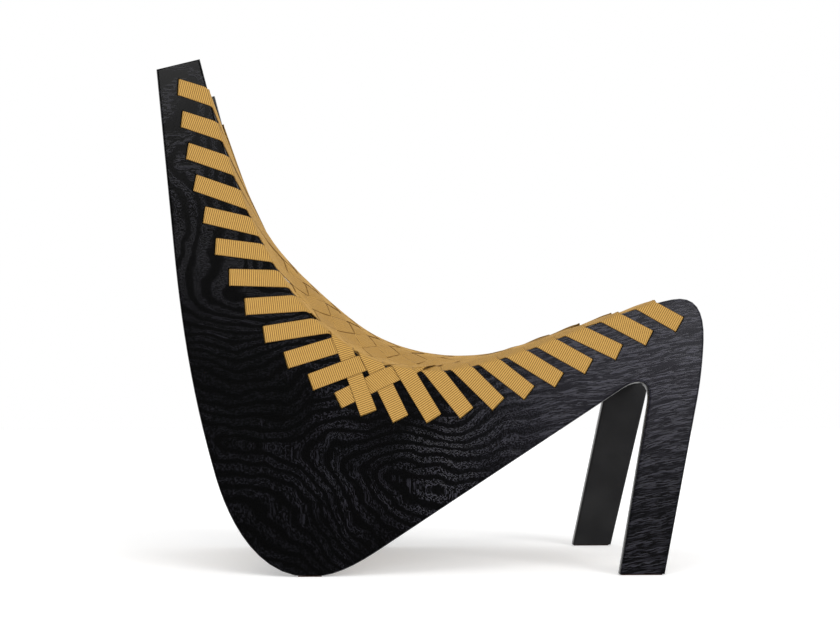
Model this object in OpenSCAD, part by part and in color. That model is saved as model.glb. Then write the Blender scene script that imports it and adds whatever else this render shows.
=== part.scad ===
// Lounge chair: two leaning plywood side panels held apart by cross rails, and between
// their front edges a seat and back of flat straps, woven over and under on the bias.
// x runs forwards, y across and z up. The floor is z = 0 and the middle of the chair is y = 0.
// A panel is drawn flat, as [x, height up its outer face], and then stood up at its lean.

/* [Chair] */
// Width over the outer faces of the panels, at the floor
chair_w = 600; // [560:5:640]
// Lean of each side panel towards the middle, in degrees
lean = 6.8; // [5:0.1:8]
// Thickness of the pads under the legs and heels
glide_t = 2; // [1.5:0.5:4]

/* [Side panel] */
// Thickness of the plywood
panel_t = 24; // [20:1:28]
// Radius of the eased edges all round
edge_r = 4; // [3:0.5:6]
// Height of the back's front corner
back_h = 908; // [890:1:930]
// How far the back's front corner stands behind the middle
back_x = 402; // [390:1:415]
// Width of the back's top edge
top_w = 76; // [66:1:86]
// Fall of the top edge towards the rear
top_fall = 20; // [10:1:30]
// How far behind the middle the back's curve turns into the seat's
turn_x = 136; // [128:1:146]
// Height of that turn
turn_h = 389; // [380:1:400]
// How far the top of the nose stands in front of the middle
nose_x = 428; // [420:1:440]
// Height of the top of the nose
nose_h = 478; // [468:1:490]
// How far the foremost point stands in front of the middle
front_x = 482; // [476:1:494]
// Height of the foremost point
front_h = 405; // [395:1:415]
// How far the leg's front edge stands in front of the middle where it becomes straight
shin_x = 467; // [460:1:472]
// Height where the leg's front edge becomes straight
shin_h = 300; // [280:1:320]
// How far the toe stands in front of the middle
toe_x = 401; // [392:1:410]
// Length of the foot along the floor
foot_l = 78; // [70:1:86]
// How far the rear edge of the leg stands in front of the middle at its top
knee_x = 381; // [375:1:390]
// Height of the top of the leg's rear edge
knee_h = 295; // [285:1:302]
// How far in front of the middle the notch behind the leg meets the straight underside
notch_x = 340; // [332:1:346]
// Height of that point
notch_h = 323; // [316:1:330]
// How far behind the middle the straight underside ends and the heel begins
belly_x = 60; // [45:1:75]
// Height of that point
belly_h = 62; // [56:1:70]
// How far the heel touches the floor behind the middle
heel_x = 203; // [195:1:212]
// How far behind the middle the heel has turned up into the back
calf_x = 365; // [358:1:372]
// Height of that point
calf_h = 173; // [160:1:185]
// How far behind the middle the straight rear edge of the back begins
spine_x = 442; // [436:1:448]
// Height of that point
spine_h = 569; // [540:1:600]

/* [Straps] */
// Width of the straps
strap_w = 30; // [27:0.5:32]
// Thickness of the straps
strap_t = 1.8; // [1.4:0.1:2]
// Rise of the woven surface over the line from edge to edge, where it is most
rise = 49; // [40:1:60]
// Distance along the edge from the back's front corner to the highest rise
rise_at = 590; // [560:1:615]
// Half-length of the rise along the edge
rise_l = 235; // [200:5:270]
// Length of each strap's tail on the inner face
tail_l = 24; // [20:1:26]
// Width of the slots in the panels
slot_w = 5; // [4.6:0.1:6]

/* [Rails] */
// Thickness of the cross rails
rail_t = 22; // [18:1:26]
// Height of the cross rails' section
rail_h = 60; // [50:1:64]
// Radius of the dowels in the rail ends
dowel_r = 5; // [4:0.5:6]
// Distance between the two dowels of a rail end
dowel_gap = 32; // [26:1:34]
// Depth of each dowel in the panel
dowel_in = 15; // [12:1:16]
// Depth of each dowel in the rail
dowel_out = 25; // [20:1:35]

/* [Clamps] */
// Width of the clamp bars over the strap tails
bar_w = 14; // [12:1:16]
// Thickness of the clamp bars
bar_t = 5; // [4:0.5:8]
// Radius of the screws' shanks
screw_r = 2; // [1.5:0.25:2.25]
// Depth of each screw in the panel
screw_in = 14; // [10:1:17]

/* [Hidden] */

black_wood = [0.09, 0.09, 0.1];
mustard = [0.8, 0.62, 0.3];
beech = [0.72, 0.56, 0.38];
steel = [0.6, 0.6, 0.62];
brown_pad = [0.3, 0.2, 0.14];

// Number of straps that run down to one side, and of slots on a panel
strap_n = 12;
slot_n = 2 * strap_n - 1;
// Clearance between a strap and what it lies on or crosses
gap = 0.3;
// Height of a strap's middle over its seat when it lies under, and the step up to lie over
low = gap + strap_t / 2;
step = strap_t + gap;
half_w = chair_w / 2;
// Steps of round shapes
round_steps = 32;

// Corners and turns of the panel's outline, from the back's top to the nose, the leg,
// the underside and the heel
top_front = [-back_x, back_h];
top_rear = [-back_x - top_w, back_h - top_fall];
turn = [-turn_x, turn_h];
nose = [nose_x, nose_h];
front = [front_x, front_h];
shin = [shin_x, shin_h];
toe = [toe_x, 0];
foot_rear = [toe_x - foot_l, 0];
knee = [knee_x, knee_h];
notch = [notch_x, notch_h];
belly = [-belly_x, belly_h];
heel = [-heel_x, 0];
calf = [-calf_x, calf_h];
spine = [-spine_x, spine_h];

// Headings of the outline at its turns, in degrees
back_aim = -75.5;
turn_aim = -33.9;
nose_aim = 11.4;
front_aim = -94;
function aim(a, b) = atan2(b.y - a.y, b.x - a.x);
shin_aim = aim(shin, toe);
knee_aim = aim(foot_rear, knee);
under_aim = aim(notch, belly);
calf_aim = 106.8;
spine_aim = aim(spine, top_rear);

// How far the headings hold along each curve of the outline, and the curves' steps
back_pull = [0.336, 0.314];
seat_pull = [0.355, 0.302];
nose_pull = [0.47, 0.6];
front_pull = [0.33, 0.32];
knee_pull = [0.79, 0.66];
belly_pull = [0.35, 0.34];
heel_pull = [0.44, 0.19];
calf_pull = [0.38, 0.3];
edge_steps = 36;
short_steps = 8;
long_steps = 12;

// A cubic curve from a to b that leaves a and reaches b at given headings. pull gives how
// far each heading holds, as shares of the distance from a to b.
function along(a, from, b, to, pull, t) =
  let (
    d = norm(b - a),
    p = a + pull[0] * d * [cos(from), sin(from)],
    q = b - pull[1] * d * [cos(to), sin(to)]
  )
  (1 - t) ^ 3 * a + 3 * (1 - t) ^ 2 * t * p + 3 * (1 - t) * t ^ 2 * q + t ^ 3 * b;
function curve(a, from, b, to, pull, n) = [for (k = [0 : n - 1]) along(a, from, b, to, pull, k / n)];

// The edge that carries the straps, from the back's front corner to the top of the nose
edge_line = concat(
  curve(top_front, back_aim, turn, turn_aim, back_pull, edge_steps),
  curve(turn, turn_aim, nose, nose_aim, seat_pull, edge_steps),
  [nose]
);

outline = concat(
  [for (p = edge_line) if (p != nose) p],
  curve(nose, nose_aim, front, front_aim, nose_pull, short_steps),
  curve(front, front_aim, shin, shin_aim, front_pull, short_steps),
  [shin, toe, foot_rear],
  curve(knee, knee_aim, notch, under_aim, knee_pull, short_steps),
  [notch],
  curve(belly, under_aim, heel, 180, belly_pull, short_steps),
  curve(heel, 180, calf, calf_aim, heel_pull, long_steps),
  curve(calf, calf_aim, spine, spine_aim, calf_pull, long_steps),
  [spine, top_rear]
);

// The drawing is moved so that x = 0 is the middle of the chair's length
outline_x = [for (p = outline) p.x];
middle_x = (min(outline_x) + max(outline_x)) / 2;
module centred() {
  translate([-middle_x, 0, 0])
  children();
}

// The distance run along a line of points, up to each point
function run_of(line, k = 0, sum = 0, out = []) =
  k == len(line) ? out :
  let (next = k == 0 ? 0 : sum + norm(line[k] - line[k - 1]))
  run_of(line, k + 1, next, concat(out, [next]));
function table(line, axis) = let (run = run_of(line)) [for (k = [0 : len(line) - 1]) [run[k], line[k][axis]]];

edge_xs = table(edge_line, 0);
edge_vs = table(edge_line, 1);
edge_len = edge_xs[len(edge_xs) - 1][0];
function edge_at(s) = [lookup(s, edge_xs), lookup(s, edge_vs)];
function unit(v) = v / norm(v);
// Heading along the edge, and the way out of the panel, towards the sitter
probe = 6;
function edge_way(s) = unit(edge_at(s + probe) - edge_at(s - probe));
function edge_out(s) = let (w = edge_way(s)) [-w.y, w.x];

// The row of slots runs a hand's breadth inside the edge, and the slots are nearly evenly spaced.
// The row is two curves, with their headings and how far those hold.
first_inset = [36, 53];
turn_inset = [42, 76];
last_inset = [-11, 45];
slot_first = top_front - first_inset;
slot_turn = turn - turn_inset;
slot_last = nose - last_inset;
first_slot_aim = -88;
turn_slot_aim = -33.4;
last_slot_aim = 23.3;
row_back_pull = [0.04, 0.443];
row_seat_pull = [0.345, 0.395];
row_line = concat(
  curve(slot_first, first_slot_aim, slot_turn, turn_slot_aim, row_back_pull, edge_steps),
  curve(slot_turn, turn_slot_aim, slot_last, last_slot_aim, row_seat_pull, edge_steps),
  [slot_last]
);
row_xs = table(row_line, 0);
row_vs = table(row_line, 1);
row_len = row_xs[len(row_xs) - 1][0];
// How far along the row a slot lies past its even place, by the number of the slot
slot_shift = [[1, 0], [4, 2], [7, 7], [10, 9], [12, 6.6], [14, 2.4], [16, 0.8], [20, -3.4], [23, 0]];
row_pitch = row_len / (slot_n - 1);
function row_s(k) = row_pitch * (k - 1) + lookup(k, slot_shift);
function slot_mid(k) = let (s = row_s(k)) [lookup(s, row_xs), lookup(s, row_vs)];

// Where the straps cross the edge, as shares of its length: strap i at its upper end,
// and at its lower end on the other panel. The lower end of strap 1 has no slot.
upper_share = [[1, 0.063], [4, 0.2255], [9, 0.448], [10, 0.488], [12, 0.586]];
lower_share = [[1, 0.428], [2, 0.488], [4, 0.586], [8, 0.754], [10, 0.848], [12, 0.96]];
function upper_at(i) = edge_len * lookup(i, upper_share);
function lower_at(i) = edge_len * lookup(i, lower_share);

// Heading of the part of a strap on the outer face, from its slot to the edge
function upper_mid(i) = edge_at(upper_at(i));
function lower_mid(i) = edge_at(lower_at(i));
function upper_way(i) = unit(upper_mid(i) - slot_mid(i));
function lower_way(i) = unit(lower_mid(i) - slot_mid(strap_n + i - 1));
// Slots lie square to their straps, apart from a turn at the top of the back
slot_skew = [[1, 17], [5, 7], [9, 0]];
function slot_way(i, is_upper) =
  let (
    w = is_upper ? upper_way(i) : lower_way(i),
    a = atan2(w.y, w.x) - 90 + (is_upper ? lookup(i, slot_skew) : 0)
  )
  [cos(a), sin(a)];

// A flat panel place at depth d in from the outer face, on the near side
function stand(p, d) = [p.x, -(half_w - p.y * sin(lean) - d * cos(lean)), p.y * cos(lean) - d * sin(lean)];
function far_side(q) = [q.x, -q.y, q.z];
face_out = [0, -cos(lean), sin(lean)];
function lift(v) = [v.x, v.y * sin(lean), v.y * cos(lean)];

// Half the distance between the outer faces at place s along the edge
function half_span(s) = half_w - edge_at(s).y * sin(lean);
bell_power = 2.5;
function bell(s) = rise * exp(-abs((s - rise_at) / rise_l) ^ bell_power);

// The woven surface: s along the edge, f from 0 at the near edge to 1 at the far edge
function cloth(s, f) =
  let (e = edge_at(s), n = edge_out(s), h = 4 * f * (1 - f) * bell(s))
  [e.x + h * n.x, half_span(s) * (2 * f - 1), e.y * cos(lean) + h * n.y];
function cloth_out(s, f) =
  let (n = edge_out(s), slope = 4 * (1 - 2 * f) * bell(s) / (2 * half_span(s)))
  unit([n.x, -slope, n.y]);

// Half the width of strap i along the edge where it crosses it. A strap that runs far along
// the edge lies on it no longer than least_slant allows. The lower end of strap 1 lies
// beside the upper end of strap first_beside and is as wide.
least_slant = 0.62;
first_beside = 9;
function slant(w, s) = abs(cross(unit(w), edge_way(s)));
function upper_half(i) = strap_w / 2 / slant(upper_way(i), upper_at(i));
function lower_half(i) =
  i == 1 ? upper_half(first_beside) : strap_w / 2 / max(least_slant, slant(lower_way(i), lower_at(i)));

// Strap i between the edges: its travel along the edge, the span and its own length
function travel(i) = lower_at(i) - upper_at(i);
function span(i) = half_span(upper_at(i)) + half_span(lower_at(i));
function length_of(i) = norm([travel(i), span(i)]);

// Side of a strap: e = -1 is the edge nearer the top of the back, e = 1 the other
function upper_fold(i, e) = edge_at(upper_at(i) + e * upper_half(i));
function lower_fold(i, e) = edge_at(lower_at(i) + e * lower_half(i));
function upper_end(i, e) = slot_mid(i) + e * strap_w / 2 * slot_way(i, true);
function lower_end(i, e) = slot_mid(strap_n + i - 1) + e * strap_w / 2 * slot_way(i, false);

// Distance from a towards b at which that line meets the line from p to q
function reach(a, b, p, q) = cross(p - a, q - p) / cross(unit(b - a), q - p);

// Place along side e of strap i where it meets side g of the mirrored strap m. Places are
// measured from the upper fold, so they are negative on the face of the panel at the upper
// end and past length_of(i) on the face of the other.
function upper_s(i, e) = upper_at(i) + e * upper_half(i);
function lower_s(i, e) = lower_at(i) + e * lower_half(i);
function meet(i, e, m, g) =
  let (
    ahead = lower_s(m, g) - upper_s(i, e),
    f = ahead / (ahead + lower_s(i, e) - upper_s(m, g))
  )
  f < 0 && m > 1 ? -reach(upper_fold(i, e), upper_end(i, e), lower_fold(m, g), lower_end(m, g)) :
  f > 1 && i > 1 ?
    length_of(i) + reach(lower_fold(i, e), lower_end(i, e), upper_fold(m, g), upper_end(m, g)) :
  f * length_of(i);

// The stretches of strap i that lie over or under a mirrored strap, as [start at e = -1,
// start at e = 1, end at e = -1, end at e = 1, is_over], longer by lap at both ends. The
// lower end of strap 1 is on no outer face, so it meets nothing there.
lap = 1.4;
function crossings(i, flip) = [
  for (m = [1 : strap_n])
    let (
      over = (i + m + (flip ? 1 : 0)) % 2,
      a = [for (e = [-1, 1]) for (g = [-1, 1]) meet(i, e, m, g)]
    )
    if ((m > 1 || lower_at(m) > upper_at(i)) && (i > 1 || upper_at(m) < lower_at(i)))
      [min(a[0], a[1]) - lap, min(a[2], a[3]) - lap, max(a[0], a[1]) + lap, max(a[2], a[3]) + lap, over]
];
// Where two stretches run into each other, each ends apart from the middle between them
apart = 1;
function spread(list) = [
  for (k = [0 : len(list) - 1])
    let (z = list[k])
    [
      for (c = [0, 1]) k == 0 ? z[c] : max(z[c], (list[k - 1][c + 2] + z[c]) / 2 + apart),
      for (c = [2, 3]) k == len(list) - 1 ? z[c] : min(z[c], (z[c] + list[k + 1][c - 2]) / 2 - apart),
      z[4]
    ]
];

// Middle of a strap's side e at place p, and the way out there, as [place, out]
function on_upper_face(i, e, p, level) =
  [stand(upper_fold(i, e) - p * unit(upper_end(i, e) - upper_fold(i, e)), -(low + level * step)), face_out];
function on_lower_face(i, e, p, level) =
  [
    far_side(stand(lower_fold(i, e) + p * unit(lower_end(i, e) - lower_fold(i, e)), -(low + level * step))),
    far_side(face_out)
  ];
function on_cloth(i, e, p, level) =
  let (
    f = p / length_of(i),
    s = (upper_at(i) + e * upper_half(i)) * (1 - f) + (lower_at(i) + e * lower_half(i)) * f,
    out = cloth_out(s, f)
  )
  [cloth(s, f) + (low + level * step) * out, out];
// The bend over the eased edge: share 0 is on the face and 1 on the cloth
function over_edge(s, share, level, is_far) =
  let (
    leave = cloth_out(s, is_far ? 1 : 0),
    from = is_far ? far_side(face_out) : face_out,
    angle = acos(from * leave),
    m = (sin((1 - share) * angle) * from + sin(share * angle) * leave) / sin(angle),
    inner = stand(edge_at(s) - edge_r * edge_out(s), edge_r),
    c = is_far ? far_side(inner) : inner
  )
  [c + (edge_r + low + level * step) * m, m];

// The turn through a slot, as [way along the strap, depth, tilt of the way out], from the
// tail on the inner face to the outer face
turn_in = slot_w / 2 - strap_t / 2;
slot_turns = [
  [-tail_l, panel_t + low, 0],
  [-turn_in, panel_t + low, 0],
  [-turn_in / 3, panel_t + low / 2, 45],
  [0, panel_t - strap_t / 2, 90],
  [0, strap_t / 2, 90],
  [turn_in / 3, -low / 2, 45],
  [turn_in, -low, 0]
];
function through_slot(mid, way, e, along_slot, k) =
  let (
    r = slot_turns[k],
    out = cos(r[2]) * face_out - sin(r[2]) * lift(way)
  )
  [stand(mid + e * strap_w / 2 * along_slot + r[0] * way, r[1]), out];

// Stations of a strap, as [place at e = -1, place at e = 1, level]. They stay off the bends
// over the edges, by at least bend, so that each bend lies along its edge.
bend = 1.55 * edge_r;
nudge = 0.7;
bend_steps = 3;
function stations(list) = [for (z = list) each [[z[0], z[1], z[4]], [z[2], z[3], z[4]]]];
function before(list, at) =
  let (near = [for (q = list) if (min(q[0], q[1]) < at - bend) q], n = len(near))
  [
    for (k = [0 : 1 : n - 1])
      let (q = near[k], cap = at - bend - nudge * (n - 1 - k))
      [min(q[0], cap), min(q[1], cap), q[2]]
  ];
function after(list, at) =
  let (far = [for (q = list) if (max(q[0], q[1]) > at + bend) q], n = len(far))
  [
    for (k = [0 : 1 : n - 1])
      let (q = far[k], cap = at + bend + nudge * k)
      [max(q[0], cap), max(q[1], cap), q[2]]
  ];
// Level on a bend: that of the stretch which reaches furthest over it, if one comes near
bend_near = 1.5 * edge_r;
function over_bend(z, at) = min(at - (z[0] + z[1]) / 2, (z[2] + z[3]) / 2 - at);
function bend_level(list, at) =
  let (best = max([for (z = list) over_bend(z, at)]))
  best < -bend_near ? 0 : [for (z = list) if (over_bend(z, at) == best) z[4]][0];

// One side of strap i, from its upper tail to its lower tail. Strap 1 leaves the woven
// surface first_free from the inner face of the panel at its lower end.
first_free = 10;
function strap_side(i, e, flip) =
  let (
    list = spread(crossings(i, flip)),
    all = length_of(i),
    both = stations(list),
    col = e < 0 ? 0 : 1,
    on_near = before(both, 0),
    rest = after(both, 0),
    last = all - (panel_t + first_free) * all / span(i),
    on_free = i == 1 ? [for (q = rest) if (max(q[0], q[1]) < last) q] : before(rest, all),
    on_far = after(rest, all),
    drift = travel(i) / span(i),
    near_level = bend_level(list, 0),
    far_level = bend_level(list, all)
  )
  concat(
    [for (k = [0 : len(slot_turns) - 1]) through_slot(slot_mid(i), upper_way(i), e, slot_way(i, true), k)],
    [for (q = on_near) on_upper_face(i, e, q[col], q[2])],
    [
      for (k = [0 : bend_steps])
        let (share = k / bend_steps)
        over_edge(upper_s(i, e) + edge_r * (2 * share - 1) * drift, share, near_level, false)
    ],
    [for (q = on_free) on_cloth(i, e, q[col], q[2])],
    i == 1 ? inner_end(i, e, last, rest[len(on_free)][2]) :
    concat(
      [
        for (k = [0 : bend_steps])
          let (share = 1 - k / bend_steps)
          over_edge(lower_s(i, e) + edge_r * (1 - 2 * share) * drift, share, far_level, true)
      ],
      [for (q = on_far) on_lower_face(i, e, q[col] - all, q[2])],
      [
        for (k = [len(slot_turns) - 1 : -1 : 0])
          let (r = through_slot(slot_mid(strap_n + i - 1), lower_way(i), e, slot_way(i, false), k))
          [far_side(r[0]), far_side(r[1])]
      ]
    )
  );

// The lower end of strap 1 turns down on the inner face of the far panel
inner_slope = -52;
inner_bow = 5;
inner_from = 10;
inner_to = 42;
function turned(w, a) = [w.x * cos(a) - w.y * sin(a), w.x * sin(a) + w.y * cos(a)];
first_way = turned(edge_way(lower_at(1)), inner_slope);
function inner_place(e, r, d) = stand(lower_fold(1, e) + r * first_way, d);
function inner_end(i, e, last, level) =
  let (
    arrive = on_cloth(i, e, last, level),
    flat_out = far_side(face_out),
    start = far_side(inner_place(e, inner_from, panel_t + low)),
    tip = far_side(inner_place(e, inner_to, panel_t + low)),
    mid = (arrive[0] + start) / 2 + inner_bow * unit(arrive[1] + flat_out)
  )
  [arrive, [mid, unit(arrive[1] + flat_out)], [start, flat_out], [tip, flat_out]];

module strap(i, flip) {
  a = strap_side(i, -1, flip);
  b = strap_side(i, 1, flip);
  n = len(a);
  h = strap_t / 2;
  points = [
    for (k = [0 : n - 1])
      each [a[k][0] + h * a[k][1], b[k][0] + h * b[k][1], b[k][0] - h * b[k][1], a[k][0] - h * a[k][1]]
  ];
  faces = concat(
    [[0, 1, 2], [0, 2, 3]],
    [
      for (k = [0 : n - 2])
        for (j = [0 : 3])
          let (p = 4 * k + j, q = 4 * k + (j + 1) % 4)
          each j == 2 ? [[p, p + 4, q], [p + 4, q + 4, q]] : [[p, p + 4, q + 4], [p, q + 4, q]]
    ],
    [[4 * n - 4, 4 * n - 2, 4 * n - 3], [4 * n - 4, 4 * n - 1, 4 * n - 2]]
  );
  color(mustard)
  polyhedron(points, faces, convexity = 4);
}

// Straps that run from the top near side down to the far side, and their mirror images
module strap_down(i) {
  strap(i, false);
}
module strap_up(i) {
  mirror([0, 1, 0])
  strap(i, true);
}

// Moves a shape drawn flat, with z as the depth in from the outer face, to the near side
module standing() {
  translate([0, -half_w, 0])
  rotate([90 - lean, 0, 0])
  mirror([0, 0, 1])
  children();
}

// The panel's board: rings of the outline, drawn in at both faces to ease the edges
sharpest = 0.5;
function corner_in(k) =
  let (
    n = len(outline),
    a = unit(outline[k] - outline[(k + n - 1) % n]),
    b = unit(outline[(k + 1) % n] - outline[k]),
    m = unit([a.y + b.y, -a.x - b.x])
  )
  m / max(sharpest, m * [a.y, -a.x]);
ease_steps = 2;
function eased(a) = edge_r * [1 - cos(a), 1 - sin(a)];
rings = concat(
  [for (k = [ease_steps : -1 : 0]) eased(90 * k / ease_steps)],
  [for (k = [0 : ease_steps]) let (r = eased(90 * k / ease_steps)) [r[0], panel_t - r[1]]]
);
// The faces of the board are cut into triangles, one corner at a time
function turns_in(a, b, c) = cross(b - a, c - b) > 0;
function holds(a, b, c, p) = cross(b - a, p - a) >= 0 && cross(c - b, p - b) >= 0 && cross(a - c, p - c) >= 0;
function is_ear(line, left, k) =
  let (
    n = len(left),
    before_k = left[(k + n - 1) % n],
    after_k = left[(k + 1) % n],
    a = line[before_k],
    b = line[left[k]],
    c = line[after_k]
  )
  turns_in(a, b, c) &&
  len([for (j = left) if (j != before_k && j != left[k] && j != after_k && holds(a, b, c, line[j])) j]) == 0;
function next_ear(line, left, k) =
  let (at = k % len(left))
  is_ear(line, left, at) ? at : next_ear(line, left, k + 1);
function without(list, k) = [for (j = [0 : len(list) - 1]) if (j != k) list[j]];
function triangles(line, left, k = 0, out = []) =
  len(left) == 3 ? concat(out, [left]) :
  let (
    n = len(left),
    ear = next_ear(line, left, k),
    new = [left[(ear + n - 1) % n], left[ear], left[(ear + 1) % n]]
  )
  triangles(line, without(left, ear), ear + 1, concat(out, [new]));

// The outline runs clockwise, so it is turned round before it is cut up
module board() {
  n = len(outline);
  line = [for (k = [0 : n - 1]) outline[k] + edge_r * corner_in(k)];
  cap = triangles(line, [for (k = [n - 1 : -1 : 0]) k]);
  points = [
    for (r = rings)
      for (k = [0 : n - 1])
        let (p = outline[k] + r[0] * corner_in(k))
        [p.x, p.y, r[1]]
  ];
  faces = concat(
    cap,
    [
      for (r = [0 : len(rings) - 2])
        for (k = [0 : n - 1])
          let (p = r * n + k, q = r * n + (k + 1) % n)
          each [[p, q + n, p + n], [p, q, q + n]]
    ],
    [for (t = cap) [for (j = [2 : -1 : 0]) (len(rings) - 1) * n + t[j]]]
  );
  polyhedron(points, faces, convexity = 8);
}

// A slot with round ends, cut through the board
slot_l = strap_w + 2 * gap + slot_w / 2;
module slot(mid, way) {
  half = (slot_l - slot_w) / 2;
  translate([mid.x, mid.y, 0])
  rotate([0, 0, atan2(way.y, way.x)])
  translate([0, 0, -edge_r])
  union() {
    translate([-half, -slot_w / 2, 0])
    cube([2 * half, slot_w, panel_t + 2 * edge_r]);
    for (side = [-1, 1])
      translate([side * half, 0, 0])
      cylinder(h = panel_t + 2 * edge_r, r = slot_w / 2, $fn = round_steps);
  }
}
module slots() {
  for (i = [1 : strap_n])
    slot(slot_mid(i), slot_way(i, true));
  for (i = [2 : strap_n])
    slot(slot_mid(strap_n + i - 1), slot_way(i, false));
}

// Clamp bars lie over the tails, along the row of slots and away from the edge
bar_off = 9;
bar_depth = panel_t + 2 * gap + strap_t;
// Clearance of screws, dowels and rod in their bores, and how far a cutter runs past a face
fit = 0.05;
past = 1;
head_r = 2 * screw_r;
head_t = screw_r;
function row_place(s) =
  let (beyond = s < 0 ? s : max(0, s - row_len), at = min(max(s, 0), row_len))
  [lookup(at, row_xs), lookup(at, row_vs)] + beyond * row_way(at);
function row_way(s) =
  let (a = max(0, min(s, row_len - probe)), b = a + probe)
  unit([lookup(b, row_xs), lookup(b, row_vs)] - [lookup(a, row_xs), lookup(a, row_vs)]);
function row_off(s, off) = let (w = row_way(s)) row_place(s) + off * [w.y, -w.x];
// How far the bars run past the first and last slots, and towards each other, as shares of
// the distance between slots
bar_over = 0.42;
bar_meet = 0.34;
bar_steps = 24;
// The tails slant over the bar, so the screws between them stand to one side
screw_shift = 10;
function bar_span(is_upper) =
  is_upper ? [row_s(1 - bar_over), row_s(strap_n + bar_meet)] :
  [row_s(strap_n + 1 - bar_meet), row_s(slot_n + bar_over)];
function bar_screws(is_upper) = [
  for (k = is_upper ? [1 : 2 : strap_n - 1] : [strap_n + 1 : 2 : slot_n - 1])
    row_off(row_s(k + 0.5) + (is_upper ? -screw_shift : screw_shift), bar_off + bar_w / 2)
];
// The two screws beside the lower end of strap 1
first_mid = edge_at(lower_at(1)) + (inner_to - bar_w / 2) * first_way;
first_aim = atan2(first_way.y, first_way.x) + 90;
screw_gap = 3;
bar_end = 2;
first_off = strap_w / 2 + screw_gap + head_r;
first_screws = [for (e = [-1, 1]) first_mid + e * first_off * [cos(first_aim), sin(first_aim)]];
all_screws = concat(bar_screws(true), bar_screws(false), first_screws);

module screw_holes(places, from, to, r) {
  for (p = places)
    translate([p.x, p.y, from])
    cylinder(h = to - from, r = r, $fn = round_steps);
}
module clamp_bar(is_upper) {
  ends = bar_span(is_upper);
  s = [for (k = [0 : bar_steps]) ends[0] + (ends[1] - ends[0]) * k / bar_steps];
  color(black_wood)
  standing()
  difference() {
    translate([0, 0, bar_depth])
    linear_extrude(bar_t)
    polygon(concat(
      [for (k = [0 : bar_steps]) row_off(s[k], bar_off)],
      [for (k = [bar_steps : -1 : 0]) row_off(s[k], bar_off + bar_w)]
    ));
    screw_holes(bar_screws(is_upper), bar_depth - past, bar_depth + bar_t + past, screw_r + gap);
  }
}
module first_clamp() {
  color(black_wood)
  standing()
  difference() {
    translate([first_mid.x, first_mid.y, bar_depth])
    rotate([0, 0, first_aim])
    translate([-first_off - head_r - bar_end, -bar_w / 2, 0])
    cube([2 * (first_off + head_r + bar_end), bar_w, bar_t]);
    screw_holes(first_screws, bar_depth - past, bar_depth + bar_t + past, screw_r + gap);
  }
}
module clamp_screws() {
  color(steel)
  standing()
  for (p = all_screws)
    translate([p.x, p.y, 0])
    union() {
      translate([0, 0, panel_t - screw_in])
      cylinder(h = bar_depth + bar_t - panel_t + screw_in, r = screw_r, $fn = round_steps);
      translate([0, 0, bar_depth + bar_t])
      cylinder(h = head_t, r = head_r, $fn = round_steps);
    }
}

// Cross rails, as [x, z, heading of the section's long side]. All are hidden from the side
// by the panels. The top one is a round rod in blind bores, since there is no room for more.
// The others are placed between a clamp bar and the back's rear edge, at the height of slot
// back_beside, over the heel's flat, along the straight underside, and over the notch.
top_inset = [24, 22];
rod_r = 9;
rod_in = 12;
back_beside = 7;
heel_back = 30;
heel_up = 76;
seat_share = 0.36;
seat_in = 46;
nose_in = 44;
nose_down = 33;
top_place = top_front - top_inset;
back_height = slot_mid(back_beside).y;
back_edge = lookup(back_height, [[spine.y, spine.x], [top_rear.y, top_rear.x]]);
back_bar = slot_mid(back_beside).x - bar_off - bar_w;
back_place = [(back_edge + back_bar) / 2, back_height, spine_aim];
heel_place = [heel.x - heel_back, heel_up, 0];
seat_aim = aim(belly, notch);
seat_foot = belly + seat_share * (notch - belly) + seat_in * [-sin(seat_aim), cos(seat_aim)];
seat_place = [seat_foot.x, seat_foot.y, seat_aim];
nose_place = [knee.x + nose_in, (notch.y + slot_last.y) / 2 - nose_down, 0];
function inner_half(z) = half_w - z * tan(lean) - panel_t / cos(lean);

// The space between the inner faces
module between() {
  high = back_h + rail_h;
  rotate([90, 0, 90])
  linear_extrude(2 * (back_x + top_w + front_x), center = true)
  polygon([[-inner_half(0), 0], [inner_half(0), 0], [inner_half(high), high], [-inner_half(high), high]]);
}
// Flat panel place of a rail's middle on the inner face
function rail_foot(r) = [r[0], (r[1] + panel_t * sin(lean)) / cos(lean)];
module dowel_pair(r, from, to, radius) {
  foot = rail_foot(r);
  for (side = [-1, 1]) {
    p = foot + side * dowel_gap / 2 * [cos(r[2]), sin(r[2])];
    translate([p.x, p.y, from])
    cylinder(h = to - from, r = radius, $fn = round_steps);
  }
}
module both_sides() {
  standing()
  children();
  mirror([0, 1, 0])
  standing()
  children();
}
module dowels(r) {
  color(beech)
  both_sides()
  dowel_pair(r, panel_t - dowel_in, panel_t + dowel_out, dowel_r);
}
module rail(r) {
  color(black_wood)
  difference() {
    intersection() {
      translate([r[0], 0, r[1]])
      rotate([0, -r[2], 0])
      cube([rail_h, chair_w, rail_t], center = true);
      between();
    }
    both_sides()
    dowel_pair(r, panel_t - past, panel_t + dowel_out + past, dowel_r + fit);
  }
}
module top_rod(grow, extra) {
  long = 2 * (inner_half(top_place.y) + rod_in + extra);
  translate([top_place.x, 0, top_place.y])
  rotate([90, 0, 0])
  cylinder(h = long, r = rod_r + grow, center = true, $fn = round_steps);
}

module panel() {
  color(black_wood)
  difference() {
    standing()
    difference() {
      board();
      slots();
      screw_holes(all_screws, panel_t - screw_in - past, panel_t + past, screw_r + fit);
      for (r = [back_place, heel_place, seat_place, nose_place])
        dowel_pair(r, panel_t - dowel_in - past, panel_t + past, dowel_r + fit);
    }
    top_rod(fit, past);
    translate([-chair_w, -chair_w, -chair_w])
    cube([2 * chair_w, 2 * chair_w, chair_w + glide_t]);
  }
}

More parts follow.
